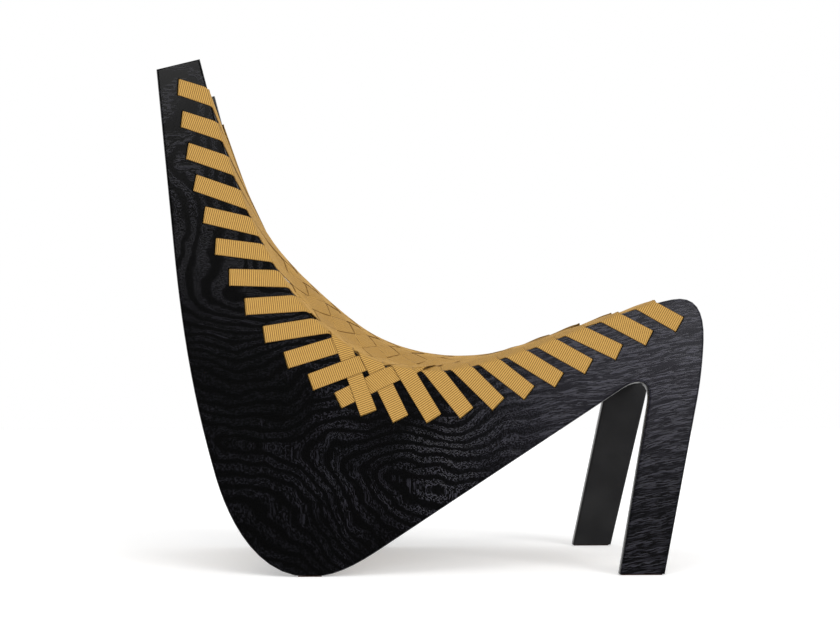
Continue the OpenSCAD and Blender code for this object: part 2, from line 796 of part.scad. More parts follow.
// Pads, set in from the edges of the leg and of the heel's flat
pad_in = 4;
heel_pad_l = 40;
module pad(from, length) {
  color(brown_pad)
  translate([from, -half_w + pad_in, 0])
  cube([length, panel_t - 2 * pad_in, glide_t]);
}
module leg_glide() {
  pad(toe_x - foot_l + pad_in, foot_l - 2 * pad_in);
}
module heel_glide() {
  pad(-heel_x - heel_pad_l / 2, heel_pad_l);
}
module opposite() {
  mirror([0, 1, 0])
  children();
}

centred() panel();  // panel_near
centred() opposite() panel();  // panel_far
for (i = [1 : strap_n]) {
  centred() strap_down(i);
  centred() strap_up(i);
}
centred() color(black_wood) top_rod(0, 0);  // top_rail
centred() rail(back_place);  // back_rail
centred() rail(heel_place);  // heel_rail
centred() rail(seat_place);  // seat_rail
centred() rail(nose_place);  // nose_rail
centred() dowels(back_place);  // back_dowels
centred() dowels(heel_place);  // heel_dowels
centred() dowels(seat_place);  // seat_dowels
centred() dowels(nose_place);  // nose_dowels
centred() clamp_bar(true);  // back_clamp_near
centred() clamp_bar(false);  // seat_clamp_near
centred() opposite() clamp_bar(true);  // back_clamp_far
centred() opposite() clamp_bar(false);  // seat_clamp_far
centred() first_clamp();  // first_clamp_near
centred() opposite() first_clamp();  // first_clamp_far
centred() clamp_screws();  // clamp_screws_near
centred() opposite() clamp_screws();  // clamp_screws_far
centred() leg_glide();  // leg_glide_near
centred() heel_glide();  // heel_glide_near
centred() opposite() leg_glide();  // leg_glide_far
centred() opposite() heel_glide();  // heel_glide_far
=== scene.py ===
# %% [markdown]
# # A lounge chair of woven straps between two leaning panels
#
# The chair has no cushion and no arms. Two black-stained plywood panels lean towards each
# other, rails hold them apart, and twenty-four flat straps weave a seat between them.
# The CAD frame gives the size and place of every piece. This lesson keeps those, and adds
# what a drawing leaves out: ribs in the webbing, grain in the veneer, broken edges, light.
#
# Lengths are in metres. x runs from the back of the chair to its front, y from the near
# panel to the far one, and z upwards.

import math

import bmesh
import bpy
import numpy as np
from mathutils import Matrix, Vector


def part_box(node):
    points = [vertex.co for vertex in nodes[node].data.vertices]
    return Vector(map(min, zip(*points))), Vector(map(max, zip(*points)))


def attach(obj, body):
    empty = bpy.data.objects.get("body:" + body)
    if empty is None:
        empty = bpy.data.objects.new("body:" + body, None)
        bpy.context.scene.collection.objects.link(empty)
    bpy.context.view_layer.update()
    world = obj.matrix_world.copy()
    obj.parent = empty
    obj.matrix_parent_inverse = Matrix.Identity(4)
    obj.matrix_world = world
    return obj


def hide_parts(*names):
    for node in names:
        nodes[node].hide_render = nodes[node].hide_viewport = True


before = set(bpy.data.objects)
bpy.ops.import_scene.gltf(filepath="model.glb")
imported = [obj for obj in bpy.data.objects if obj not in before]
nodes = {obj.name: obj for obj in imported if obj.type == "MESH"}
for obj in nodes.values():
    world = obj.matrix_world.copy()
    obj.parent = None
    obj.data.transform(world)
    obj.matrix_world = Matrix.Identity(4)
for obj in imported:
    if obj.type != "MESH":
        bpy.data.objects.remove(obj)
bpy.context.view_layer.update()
print("nodes in the frame:", len(nodes))

# %% [markdown]
# ## Helpers for pieces
#
# Most pieces start from the shape in the frame. A copy is welded, because the frame gives
# each triangle its own corners, and then it can be shaded smoothly and bevelled.

# %% Helpers for pieces
WELD = 1e-6


def welded(node):
    """The node's shape as a bmesh whose triangles share their corners."""
    bm = bmesh.new()
    bm.from_mesh(nodes[node].data)
    bmesh.ops.remove_doubles(bm, verts=bm.verts, dist=WELD)
    bmesh.ops.recalc_face_normals(bm, faces=bm.faces)
    return bm


def piece_of(mesh, name, materials, replaced):
    """A finished piece that rides on the root and stands for the given nodes."""
    obj = bpy.data.objects.new(name, mesh)
    bpy.context.scene.collection.objects.link(obj)
    for material in materials:
        mesh.materials.append(material)
    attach(obj, "root")
    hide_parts(*replaced)
    return obj


def piece_from(bm, name, materials, replaced):
    """The same, from a bmesh, which is used up."""
    mesh = bpy.data.meshes.new(name)
    bm.to_mesh(mesh)
    bm.free()
    return piece_of(mesh, name, materials, replaced)


def smooth_but_sharp(bm, limit):
    """Smooth shading, broken at edges that turn by more than limit, in degrees."""
    for f in bm.faces:
        f.smooth = True
    for e in bm.edges:
        e.smooth = e.calc_face_angle(0.0) < math.radians(limit)


def faces_of(objects):
    """Each object's name and number of faces, to print."""
    return [(o.name, len(o.data.polygons)) for o in objects]


# %% [markdown]
# ## Helpers for materials
#
# Each material is a Principled shader. A short pattern sits beside it in the material, and
# a long or shared one is a group, which takes places and gives out a colour, a roughness
# and a height. Nodes could be placed one by one, but a pattern is mostly sums, and these
# read better as calls that each add one node. The numbers for span are the range that it
# reads and the range that it gives, and those for a bump are its depth and strength.

# %% Helpers for patterns
class Patch:
    """Short ways to add nodes to a tree. Each value may be a number or a socket."""

    def __init__(self, tree):
        self.tree = tree

    def feed(self, socket, value):
        """Joins the socket to another one, or sets it to a number."""
        if isinstance(value, bpy.types.NodeSocket):
            self.tree.links.new(value, socket)
        else:
            socket.default_value = value

    def place(self):
        """Object coordinates, in metres."""
        return self.tree.nodes.new("ShaderNodeTexCoord").outputs["Object"]

    def math(self, way, a, b=0.0, clamp=False):
        node = self.tree.nodes.new("ShaderNodeMath")
        node.operation = way
        node.use_clamp = clamp
        self.feed(node.inputs[0], a)
        self.feed(node.inputs[1], b)
        return node.outputs[0]

    def plus(self, a, b):
        return self.math("ADD", a, b)

    def minus(self, a, b):
        return self.math("SUBTRACT", a, b)

    def times(self, a, b, clamp=False):
        return self.math("MULTIPLY", a, b, clamp)

    def blend(self, share, a, b):
        """a where share is 0, and b where it is 1."""
        return self.plus(a, self.times(share, self.minus(b, a)))

    def span(self, value, from_low, from_high, to_low=0.0, to_high=1.0):
        """Maps one range smoothly onto another, and stops at its ends."""
        node = self.tree.nodes.new("ShaderNodeMapRange")
        node.interpolation_type = "SMOOTHSTEP"
        for socket, part in zip(node.inputs, (value, from_low, from_high, to_low, to_high)):
            self.feed(socket, part)
        return node.outputs[0]

    def split(self, vector):
        node = self.tree.nodes.new("ShaderNodeSeparateXYZ")
        self.feed(node.inputs[0], vector)
        return node.outputs

    def stretched(self, places, per_metre):
        """The three places as a vector, each multiplied by its own number unless that is 1."""
        node = self.tree.nodes.new("ShaderNodeCombineXYZ")
        for socket, part, number in zip(node.inputs, places, per_metre):
            self.feed(socket, part if number == 1 else self.times(part, number))
        return node.outputs[0]

    def noise(self, vector, scale, detail=2.0, rough=0.5):
        node = self.tree.nodes.new("ShaderNodeTexNoise")
        self.feed(node.inputs["Vector"], vector)
        self.feed(node.inputs["Scale"], scale)
        self.feed(node.inputs["Detail"], detail)
        self.feed(node.inputs["Roughness"], rough)
        return node.outputs[0]

    def mix(self, share, a, b):
        """Colour a where share is 0, and colour b where it is 1."""
        node = self.tree.nodes.new("ShaderNodeMix")
        node.data_type = "RGBA"
        self.feed(node.inputs["Factor"], share)
        self.feed(node.inputs[6], a)
        self.feed(node.inputs[7], b)
        return node.outputs[2]

    def bump(self, height, distance, strength):
        node = self.tree.nodes.new("ShaderNodeBump")
        self.feed(node.inputs["Height"], height)
        self.feed(node.inputs["Distance"], distance)
        self.feed(node.inputs["Strength"], strength)
        return node.outputs["Normal"]

    def use(self, group, vector):
        """A group at work on the given places. Returns what it gives out."""
        node = self.tree.nodes.new("ShaderNodeGroup")
        node.node_tree = group
        self.feed(node.inputs[0], vector)
        return node.outputs


# %% [markdown]
# Two more helpers open an empty group and a plain material, and a third feeds one from
# the other.

# %% Helpers for groups and shaders
PATTERN = [
    ("Colour", "NodeSocketColor"),
    ("Roughness", "NodeSocketFloat"),
    ("Height", "NodeSocketFloat"),
]


def new_group(name, taken):
    """An empty group that makes a pattern of one vector. Returns its patch, input and output."""
    group = bpy.data.node_groups.new(name, "ShaderNodeTree")
    group.interface.new_socket(name=taken, in_out="INPUT", socket_type="NodeSocketVector")
    for title, kind in PATTERN:
        group.interface.new_socket(name=title, in_out="OUTPUT", socket_type=kind)
    start = group.nodes.new("NodeGroupInput")
    end = group.nodes.new("NodeGroupOutput")
    return Patch(group), start.outputs[taken], end.inputs


def new_material(name, roughness, specular):
    """A Principled material. Returns it, a patch for its tree and the shader's inputs."""
    material = bpy.data.materials.new(name)
    material.use_nodes = True
    shader = material.node_tree.nodes["Principled BSDF"]
    shader.inputs["Roughness"].default_value = roughness
    shader.inputs["Specular IOR Level"].default_value = specular
    return material, Patch(material.node_tree), shader.inputs


def show_pattern(p, shader, pattern, distance, strength):
    """Feeds the shader from a group's colour, roughness and height."""
    p.feed(shader["Base Color"], pattern["Colour"])
    p.feed(shader["Roughness"], pattern["Roughness"])
    p.feed(shader["Normal"], p.bump(pattern["Height"], distance, strength))


# %% [markdown]
# ## Black-stained, open-grained veneer
#
# The stain leaves the wood almost black, and the open pores catch the light as fine grey
# dashes. They follow the growth rings. A slice along a log shows the rings as long arches,
# one inside the other, that open towards the front of the chair. A photograph of wood
# could be laid on, but it would end somewhere and repeat. Here the distance from such an
# arch is a simple sum, and its level lines are the rings.
#
# In the front leg the arches straighten out, and in the back the rings turn upright.

# %% The arches
ARCH_PLACE = (-0.34, 0.232)
ARCH_TURN = math.radians(-13.5)
ARCH_OPENING = 0.32
ARCH_NOSE = 0.00015
FRONT_PART = (0.0, 0.28)
BACK_ABOVE = (0.36, 0.62)
BACK_BEHIND = (-0.25, -0.1)
BACK_SLOPE = 0.17
BACK_PACE = 0.6
BACK_JOIN = 0.447


def arches(p, x, z, front):
    """How far a place is from the arches' spine, less what they open on the way."""
    dx = p.minus(x, ARCH_PLACE[0])
    dz = p.minus(z, ARCH_PLACE[1])
    c, s = math.cos(ARCH_TURN), math.sin(ARCH_TURN)
    ahead = p.plus(p.times(dx, c), p.times(dz, s))
    aside = p.minus(p.times(dz, c), p.times(dx, s))
    rounded = p.math("SQRT", p.plus(p.times(aside, aside), ARCH_NOSE))
    return p.minus(p.blend(front, rounded, aside), p.times(ahead, ARCH_OPENING))


def back_rings(p, x, z):
    """The same measure for the back, where the rings stand nearly upright."""
    return p.plus(p.times(p.plus(x, p.times(z, BACK_SLOPE)), BACK_PACE), BACK_JOIN)


print("the arches fall by", round(-math.degrees(ARCH_TURN), 1), "degrees")

# %% [markdown]
# Real rings wander. A slow noise sways the arches and a brisk one ripples them, both much
# less in the front leg, where the photograph's grain runs straight and climbs a little.

# %% The rings' wander
SWAY_NOISE = (5.5, 1.5, 0.45)
SWAY = 0.17
SWAY_LESS = 0.145
RIPPLE_NOISE = (26.0, 2.0, 0.5)
RIPPLE = 0.022
RIPPLE_LESS = 0.016
NOISE_MEAN = 0.5
CLIMB_FROM = 0.1
CLIMB = 0.13


def wander(p, place, front):
    """How far the rings stray at a place."""
    slow = p.minus(p.noise(place, *SWAY_NOISE), NOISE_MEAN)
    brisk = p.minus(p.noise(place, *RIPPLE_NOISE), NOISE_MEAN)
    sway = p.times(slow, p.minus(SWAY, p.times(front, SWAY_LESS)))
    ripple = p.times(brisk, p.minus(RIPPLE, p.times(front, RIPPLE_LESS)))
    return p.plus(sway, ripple)


def ring_field(p, place, front, upright):
    """A measure in metres that is the same all along one ring."""
    x, y, z = p.split(place)
    shape = p.blend(upright, arches(p, x, z, front), back_rings(p, x, z))
    climb = p.times(front, p.times(p.minus(x, CLIMB_FROM), CLIMB))
    return p.minus(p.plus(shape, wander(p, place, front)), climb)


# %% [markdown]
# Pores crowd in one season's wood, so each ring is a paler and a darker band. Some patches
# of the veneer show the bands more than others, at random. On top of that the bands are
# painted stronger towards the front and at the top of the back, as painted sheen. In the
# front leg the wood between the bands is open too, and the rise of that openness with
# height is painted sheen as well.

# %% Bands of pores and painted sheen
RINGS_PER_METRE = 52.0
LATE_WOOD = (0.38, 0.66)
EARLY_WOOD = (0.0, 0.2, 1.0, 0.0)
BETWEEN_BANDS = 0.04
PATCH_NOISE = (8.0, 2.0)
PATCH_EDGE = (0.36, 0.62)
PATCH_FAINT = 0.12
# Painted sheen: the next three ranges make the pores show more towards the front, at the top of
# the back and higher up the front leg.
PATCH_STRENGTH_AND_SHEEN = (-0.36, 0.08, 0.2, 0.7)
PAINTED_SHEEN_AT_TOP = (0.4, 0.65, 0.0, 0.16)
FRONT_OPEN_AND_SHEEN = (0.02, 0.3, 0.4, 0.8)


def ring_bands_and_sheen(p, place, field, front):
    """Where pores may show, from 0 to about 1, with painted sheen towards the front, at the top
    of the back and higher up the front leg.
    """
    x, y, z = p.split(place)
    ring = p.math("FRACT", p.times(field, RINGS_PER_METRE))
    season = p.math("MAXIMUM", p.span(ring, *LATE_WOOD), p.span(ring, *EARLY_WOOD))
    # Painted sheen: the patches grow stronger towards the front and at the top of the back.
    strength_and_sheen = p.span(x, *PATCH_STRENGTH_AND_SHEEN)
    patches_and_sheen = p.span(p.noise(place, *PATCH_NOISE), *PATCH_EDGE, PATCH_FAINT, strength_and_sheen)
    patches_and_sheen = p.plus(patches_and_sheen, p.span(z, *PAINTED_SHEEN_AT_TOP))
    ringed = p.times(p.span(season, 0.0, 1.0, BETWEEN_BANDS, 1.0), patches_and_sheen)
    # Painted sheen: the front leg opens up more the higher it goes.
    opened_and_sheen = p.times(p.span(z, *FRONT_OPEN_AND_SHEEN), p.minus(1.0, ringed))
    return p.plus(ringed, p.times(front, opened_and_sheen))


print("one ring is", round(1 / RINGS_PER_METRE, 4), "wide")

# %% [markdown]
# The pores themselves are noise drawn out along the rings: short dots over most of the
# panel, and in the front leg long fine streaks that come and go in broader ones. Higher up
# the leg the broad streaks are painted stronger, and a pale floor under all the streaks
# rises with height, both as painted sheen.

# %% Pores and painted sheen
DOTS_PER_METRE = (330.0, 1, 520.0)
DOTS_NOISE = (1.0, 2.0, 0.7)
DOTS_EDGE = (0.48, 0.62)
FINE_PER_METRE = (60.0, 1, 640.0)
FINE_NOISE = (1.0, 1.5, 0.6)
FINE_EDGE = (0.45, 0.56)
BROAD_PER_METRE = (16.0, 1, 190.0)
BROAD_NOISE = (1.0, 2.0)
BROAD_EDGE = (0.34, 0.6)
BROAD_FAINT = 0.3
# Painted sheen: the broad streaks grow stronger higher up, and the streaks never fall below a
# pale floor that rises with height.
BROAD_STRENGTH_AND_SHEEN = (0.1, 0.4, 0.72, 1.15)
PAINTED_SHEEN_BY_HEIGHT = (0.0, 0.45, 0.03, 0.38)


def pores_and_sheen(p, place, field, front, upright):
    """How open the wood is at a place, from 0 to about 1, with painted sheen higher up the front
    leg.
    """
    x, y, z = p.split(place)
    along = p.blend(upright, x, z)
    dots_at = p.stretched((along, y, field), DOTS_PER_METRE)
    dots = p.span(p.noise(dots_at, *DOTS_NOISE), *DOTS_EDGE)
    fine_at = p.stretched((x, y, field), FINE_PER_METRE)
    fine = p.span(p.noise(fine_at, *FINE_NOISE), *FINE_EDGE)
    broad_at = p.stretched((x, y, field), BROAD_PER_METRE)
    # Painted sheen: the broad streaks grow stronger higher up the leg.
    strength_and_sheen = p.span(z, *BROAD_STRENGTH_AND_SHEEN)
    broad = p.span(p.noise(broad_at, *BROAD_NOISE), *BROAD_EDGE, BROAD_FAINT, strength_and_sheen)
    # Painted sheen: a pale floor under the streaks that rises with height.
    streaks_and_sheen = p.math("MAXIMUM", p.times(fine, broad), p.span(z, *PAINTED_SHEEN_BY_HEIGHT))
    return p.blend(front, dots, streaks_and_sheen)


# %% [markdown]
# The group puts these together. Where a pore shows and where sheen is painted, the wood is
# paler, a little rougher and hollow, so the same mask gives the colour, the roughness and
# the height.

# %% Veneer
STAIN = (0.0013, 0.0013, 0.0014, 1.0)
# The pale pore colour, which also carries the painted sheen.
PORE_AND_SHEEN = (0.042, 0.041, 0.055, 1.0)
VENEER_GLOSS = (0.0, 0.8, 0.17, 0.27)
PORE_RELIEF = (0.00009, 1.0)


def make_veneer_group():
    p, place, given = new_group("stained_veneer", "Place")
    x, y, z = p.split(place)
    front = p.span(x, *FRONT_PART)
    upright = p.times(p.span(z, *BACK_ABOVE), p.span(x, *BACK_BEHIND, 1.0, 0.0))
    field = ring_field(p, place, front, upright)
    band_and_sheen = ring_bands_and_sheen(p, place, field, front)
    # This mask holds the pores together with the painted sheen.
    shown = p.times(pores_and_sheen(p, place, field, front, upright), band_and_sheen, clamp=True)
    p.feed(given["Colour"], p.mix(shown, STAIN, PORE_AND_SHEEN))
    p.feed(given["Roughness"], p.span(shown, *VENEER_GLOSS))
    p.feed(given["Height"], shown)
    return p.tree


def make_veneer_material():
    material, p, shader = new_material("black_veneer", roughness=0.27, specular=0.34)
    show_pattern(p, shader, p.use(veneer_group, p.place()), *PORE_RELIEF)
    return material


veneer_group = make_veneer_group()
veneer = make_veneer_material()
print("veneer:", veneer.name, "with", len(veneer_group.nodes), "nodes in its group")

# %% [markdown]
# ## Inner faces of the panels
#
# The inner faces have no veneer on show. They are sprayed a plain satin black, with the
# slight orange-peel of a sprayed coat: one soft noise for cloudy wear and one very fine
# noise as a bump.

# %% Inner faces
NOISE_CORE = (0.3, 0.7)
SPRAYED = (0.016, 0.016, 0.017, 1.0)
SPRAYED_WORN = (0.021, 0.021, 0.022, 1.0)
SPRAYED_GLOSS = (0.36, 0.46)
CLOUD_NOISE = (14.0, 3.0)
PEEL_NOISE = (700.0, 1.0)
PEEL_RELIEF = (0.00003, 0.6)


def make_sprayed_material():
    material, p, shader = new_material("satin_black", roughness=0.42, specular=0.35)
    place = p.place()
    clouds = p.noise(place, *CLOUD_NOISE)
    peel = p.noise(place, *PEEL_NOISE)
    p.feed(shader["Base Color"], p.mix(p.span(clouds, *NOISE_CORE), SPRAYED, SPRAYED_WORN))
    p.feed(shader["Roughness"], p.span(clouds, *NOISE_CORE, *SPRAYED_GLOSS))
    p.feed(shader["Normal"], p.bump(peel, *PEEL_RELIEF))
    return material


sprayed = make_sprayed_material()
print("inner faces:", sprayed.name)

# %% [markdown]
# ## Edges of the panels
#
# The edges show the plies of the board under the same stain: thin layers that take it a
# little differently, each with fine fibres along it. They could be cut as real grooves,
# but they are flush on the real board, so a pattern is enough. The plies follow the lean
# of the panel, so they are counted from its leaning face.

# %% Ply edges
LEAN = math.radians(6.8)
PLY_PITCH = 0.0016
PLY_EDGE = (-0.4, 1.0)
FIBRES_PER_METRE = (90.0, 2500.0, 90.0)
FIBRES_SHOWN = (0.35, 0.75, 0.15, 0.8)
FIBRE_RELIEF = (0.0003, 0.4)
EDGE_DARK = (0.004, 0.004, 0.0043, 1.0)
EDGE_PALE = (0.03, 0.028, 0.027, 1.0)
EDGE_GLOSS = (0.2, 0.36)


def make_edge_material():
    material, p, shader = new_material("ply_edge", roughness=0.3, specular=0.5)
    x, y, z = p.split(p.place())
    depth = p.plus(p.math("ABSOLUTE", y), p.times(z, math.tan(LEAN)))
    plies = p.math("SINE", p.times(depth, math.tau / (2.0 * PLY_PITCH)))
    fibres = p.noise(p.stretched((x, depth, z), FIBRES_PER_METRE), 1.0)
    shown = p.times(p.span(plies, *PLY_EDGE), p.span(fibres, *FIBRES_SHOWN))
    p.feed(shader["Base Color"], p.mix(shown, EDGE_DARK, EDGE_PALE))
    p.feed(shader["Roughness"], p.span(fibres, *NOISE_CORE, *EDGE_GLOSS))
    p.feed(shader["Normal"], p.bump(fibres, *FIBRE_RELIEF))
    return material


ply_edge = make_edge_material()
print("edges:", ply_edge.name)

# %% [markdown]
# ## The side panels
#
# A panel is one board with eased edges, slots for the straps and bores for the rails. Its
# shape is right in the frame, so it is welded and shaded: the broad faces stay flat and the
# easing runs round smoothly. Only its faces are told apart: veneer outside, spray inside and
# plies between.

# %% Side panels
BROAD = 0.6
FLAT = 0.999
PANEL_CREASE = math.radians(50)


def make_panel(node, side):
    """side is -1 for the near panel and 1 for the far one."""
    bm = welded(node)
    outward = Vector((0.0, side * math.cos(LEAN), math.sin(LEAN)))
    for f in bm.faces:
        f.smooth = True
        facing_out = f.normal.dot(outward)
        f.material_index = 0 if facing_out > BROAD else 2 if facing_out < -BROAD else 1
    for e in bm.edges:
        flat = [abs(f.normal.dot(outward)) > FLAT for f in e.link_faces]
        rim_of_flat = any(flat) and not all(flat)
        e.smooth = e.calc_face_angle(0.0) < PANEL_CREASE and not rim_of_flat
    return piece_from(bm, "side_" + node, [veneer, ply_edge, sprayed], [node])


panels = [make_panel("panel_near", -1), make_panel("panel_far", 1)]
print("panels:", faces_of(panels))

# %% [markdown]
# ## Webbing
#
# The straps are stiff webbing with a heavy rib. The ribs run across the strap, nearly three
# to a centimetre, and are real shape. On top of that the colour darkens the valleys between
# them as painted shade. The finer warp threads are a bump, with a little painted shade in
# the grooves between them, and a dark line of painted shade runs along both long edges,
# standing in for the shadows where the straps cross. The pattern is read from the strap's
# own coordinates: metres along it, and metres across it from its middle.

# %% Webbing pattern
RIB_PITCH = 0.00357
WARP_PITCH = 0.0011
STRAP_WIDTH = 0.03
YARN = (0.53, 0.3, 0.064, 1.0)
# Painted shade: the dark colour that the valleys, the thread grooves and the long edges darken
# towards.
YARN_SHADE = (0.17, 0.085, 0.016, 1.0)
YARN_WORN = (0.6, 0.37, 0.11, 1.0)
YARN_GLOSS = (0.62, 0.78)
VALLEY_EDGE = (-1.0, 0.35, 1.0, 0.0)
THREAD_EDGE = (-1.0, 0.6)
TONE_PER_METRE = (25.0, 900.0, 1)
TONE_EDGE = (0.25, 0.75)
TONE_SHARE = 0.45
TONE_HEIGHT = 0.6
# How far the valleys and the thread grooves are darkened, as painted shade.
VALLEY_SHARE = 0.95
THREAD_SHARE = 0.07
# Painted shade: a dark line along both long edges of every strap.
EDGE_SHADE = (STRAP_WIDTH / 2 - 0.0014, STRAP_WIDTH / 2 - 0.0003, 0.0, 0.75)


def make_webbing_group():
    p, strap, given = new_group("ribbed_webbing", "Along")
    u, v = p.split(strap)[:2]
    valley = p.span(p.math("COSINE", p.times(u, math.tau / RIB_PITCH)), *VALLEY_EDGE)
    threads = p.span(p.math("COSINE", p.times(v, math.tau / WARP_PITCH)), *THREAD_EDGE)
    tone = p.span(p.noise(p.stretched((u, v, 0.0), TONE_PER_METRE), 1.0), *TONE_EDGE)
    yarn = p.mix(p.times(tone, TONE_SHARE), YARN, YARN_WORN)
    # Painted shade in the valleys between the ribs and in the grooves between the threads.
    ribbed = p.mix(p.times(valley, VALLEY_SHARE), yarn, YARN_SHADE)
    fine = p.mix(p.times(p.minus(1.0, threads), THREAD_SHARE), ribbed, YARN_SHADE)
    # Painted shade along both long edges.
    edge_shade = p.span(p.math("ABSOLUTE", v), *EDGE_SHADE)
    p.feed(given["Colour"], p.mix(edge_shade, fine, YARN_SHADE))
    p.feed(given["Roughness"], p.span(tone, 0.0, 1.0, *YARN_GLOSS))
    p.feed(given["Height"], p.plus(threads, p.times(tone, TONE_HEIGHT)))
    return p.tree


webbing_group = make_webbing_group()
print("webbing pattern:", len(webbing_group.nodes), "nodes")

# %% Webbing material
STRAP_MAP = "strap"
THREAD_RELIEF = (0.00012, 0.6)
SHEEN = 0.04
SHEEN_ROUGH = 0.4


def make_webbing_material():
    material, p, shader = new_material("mustard_webbing", roughness=0.7, specular=0.3)
    uv = p.tree.nodes.new("ShaderNodeUVMap")
    uv.uv_map = STRAP_MAP
    show_pattern(p, shader, p.use(webbing_group, uv.outputs["UV"]), *THREAD_RELIEF)
    shader["Sheen Weight"].default_value = SHEEN
    shader["Sheen Roughness"].default_value = SHEEN_ROUGH
    return material


webbing = make_webbing_material()
print("straps:", webbing.name)

# %% [markdown]
# ## Reading a strap from the frame
#
# In the frame a strap is a row of flat pieces. Its shape is wanted as two lines, one for
# each long side. Every corner has a mate one thickness away, through the strap, and the two
# make a side point. The narrow triangles, on the strap's edges and ends, touch just two
# side points, so they join all of them up in one ring. The ring is then parted at the
# strap's two ends, where the two halves lie closest to each other.

# %% Read a strap
STRAP_T = 0.0018


def side_points(bm):
    """Mates the corners across the thickness. Returns the points and each corner's point."""
    bm.verts.index_update()
    edges = sorted(bm.edges, key=lambda e: abs(e.calc_length() - STRAP_T))
    point_of, points = {}, []
    for e in edges:
        a, b = e.verts
        if a.index in point_of or b.index in point_of:
            continue
        point_of[a.index] = point_of[b.index] = len(points)
        points.append((a.co + b.co) / 2)
        if len(point_of) == len(bm.verts):
            break
    return points, point_of


def ring_of(bm, count, point_of):
    """The numbers of the side points in their order round the strap."""
    beside = {k: set() for k in range(count)}
    for f in bm.faces:
        met = {point_of[v.index] for v in f.verts}
        if len(met) == 2:
            a, b = met
            beside[a].add(b)
            beside[b].add(a)
    ring, last = [0], None
    while len(ring) < count:
        ahead = [k for k in beside[ring[-1]] if k != last and k not in ring]
        last = ring[-1]
        ring.append(ahead[0])
    return ring


def sides_of(node):
    """Both long sides of a strap, as arrays of places, in step with each other."""
    bm = welded(node)
    points, point_of = side_points(bm)
    places = np.array([points[k] for k in ring_of(bm, len(points), point_of)])
    bm.free()
    half = len(places) // 2
    halves = []
    for k in range(half):
        turned = np.roll(places, -k, axis=0)
        halves.append((turned[:half], turned[half:][::-1]))
    return min(halves, key=lambda pair: np.linalg.norm(pair[0] - pair[1], axis=1).sum())


sides = {name: sides_of(name) for name in sorted(nodes) if name.startswith("strap_")}
print("straps read:", len(sides), "stations:", [len(a) for a, b in sides.values()])

# %% [markdown]
# ## Laying a strap out
#
# The strap is laid out as a grid. Its columns run along the strap, close together at the
# rounded edges, and its rows run square across it, five to a rib, wherever the strap folds.
# Every column is found on the flat pieces, measured along its own length, and softened a
# little, as webbing never creases sharply. A subdivided strip with a modifier could do the
# same, but then the ribs would stretch where the strap folds.

# %% Lay a strap out
ROW = RIB_PITCH / 5
END_ROWS = 5
SOFT = 0.0016
EDGE_SHARES = [0.0, 0.009, 0.028]
MIDDLE_SHARES = [0.12, 0.25, 0.38, 0.5, 0.62, 0.75, 0.88]
COLUMN_SHARES = np.array(EDGE_SHARES + MIDDLE_SHARES + [1 - s for s in EDGE_SHARES[::-1]])


def run_of(line):
    """How far along the line each of its places is."""
    return np.concatenate([[0.0], np.cumsum(np.linalg.norm(np.diff(line, axis=0), axis=1))])


def laid_out(a, b):
    """The strap's middle layer as a grid [row, column, xyz], and how far along each point is."""
    ahead = (a[1] - a[0]) / np.linalg.norm(a[1] - a[0])
    ua, ub = run_of(a), run_of(b) + float((b[0] - a[0]) @ ahead)
    first, last = max(ua[0], ub[0]), min(ua[-1], ub[-1])
    count = int((last - first) / ROW)
    square = first + (last - first) * np.arange(count + 1) / count
    share = np.arange(END_ROWS) / END_ROWS
    columns, runs = [], []
    for s in COLUMN_SHARES:
        line = a * (1 - s) + b * s
        u = ua * (1 - s) + ub * s
        head = u[0] + (first - u[0]) * share
        tail = last + (u[-1] - last) * share + (u[-1] - last) / END_ROWS
        rows = np.concatenate([head, square, tail])
        columns.append(np.stack([np.interp(rows, u, line[:, k]) for k in range(3)], axis=1))
        runs.append(rows)
    return np.stack(columns, axis=1), np.stack(runs, axis=1)


def softened(grid):
    """The grid with each column smoothed along its length. The ends stay."""
    reach = int(3 * SOFT / ROW)
    weight = np.exp(-0.5 * (np.arange(-reach, reach + 1) * ROW / SOFT) ** 2)
    weight /= weight.sum()
    head = 2 * grid[:1] - grid[reach:0:-1]
    tail = 2 * grid[-1:] - grid[-2:-reach - 2:-1]
    padded = np.concatenate([head, grid, tail])
    return sum(w * padded[k:k + len(grid)] for k, w in enumerate(weight))


print("columns:", len(COLUMN_SHARES), "with a row every", round(ROW, 5))

# %% [markdown]
# ## The panels' upper edge
#
# What the straps do beside a panel depends on its edge, so the line of that edge is read
# from the near panel: at each place along the chair it is the panel's highest point.

# %% The edge line
RIM_STEP = 0.003
RIM_CUTS = 900
RIM_INSET = 1e-5
LEAST_RUN = 1e-9


def rim_of(node):
    """The panel's upper edge from the top of the back to the nose, as even places in x and z."""
    bm = welded(node)
    ends = np.array([[c for v in e.verts for c in (v.co.x, v.co.z)] for e in bm.edges])
    bm.free()
    x0, z0, x1, z1 = ends.T
    turned = x0 > x1
    x0, x1 = np.where(turned, x1, x0), np.where(turned, x0, x1)
    z0, z1 = np.where(turned, z1, z0), np.where(turned, z0, z1)
    line = []
    for x in np.linspace(x0.min() + RIM_INSET, x1.max() - RIM_INSET, RIM_CUTS):
        hit = (x0 <= x) & (x1 >= x) & (x1 - x0 > LEAST_RUN)
        line.append((x, (z0[hit] + (z1 - z0)[hit] * (x - x0[hit]) / (x1 - x0)[hit]).max()))
    line = np.array(line)
    line = line[line[:, 1].argmax():]
    run = run_of(line)
    even = np.arange(0.0, run[-1], RIM_STEP)
    return np.stack([np.interp(even, run, line[:, 0]), np.interp(even, run, line[:, 1])], axis=1)


rim = rim_of("panel_near")
rim_ahead = np.gradient(rim, axis=0)
rim_ahead /= np.linalg.norm(rim_ahead, axis=1, keepdims=True)
print("edge line:", len(rim), "places, length", round(len(rim) * RIM_STEP, 3))
print("from", rim[0].round(3), "to", rim[-1].round(3))

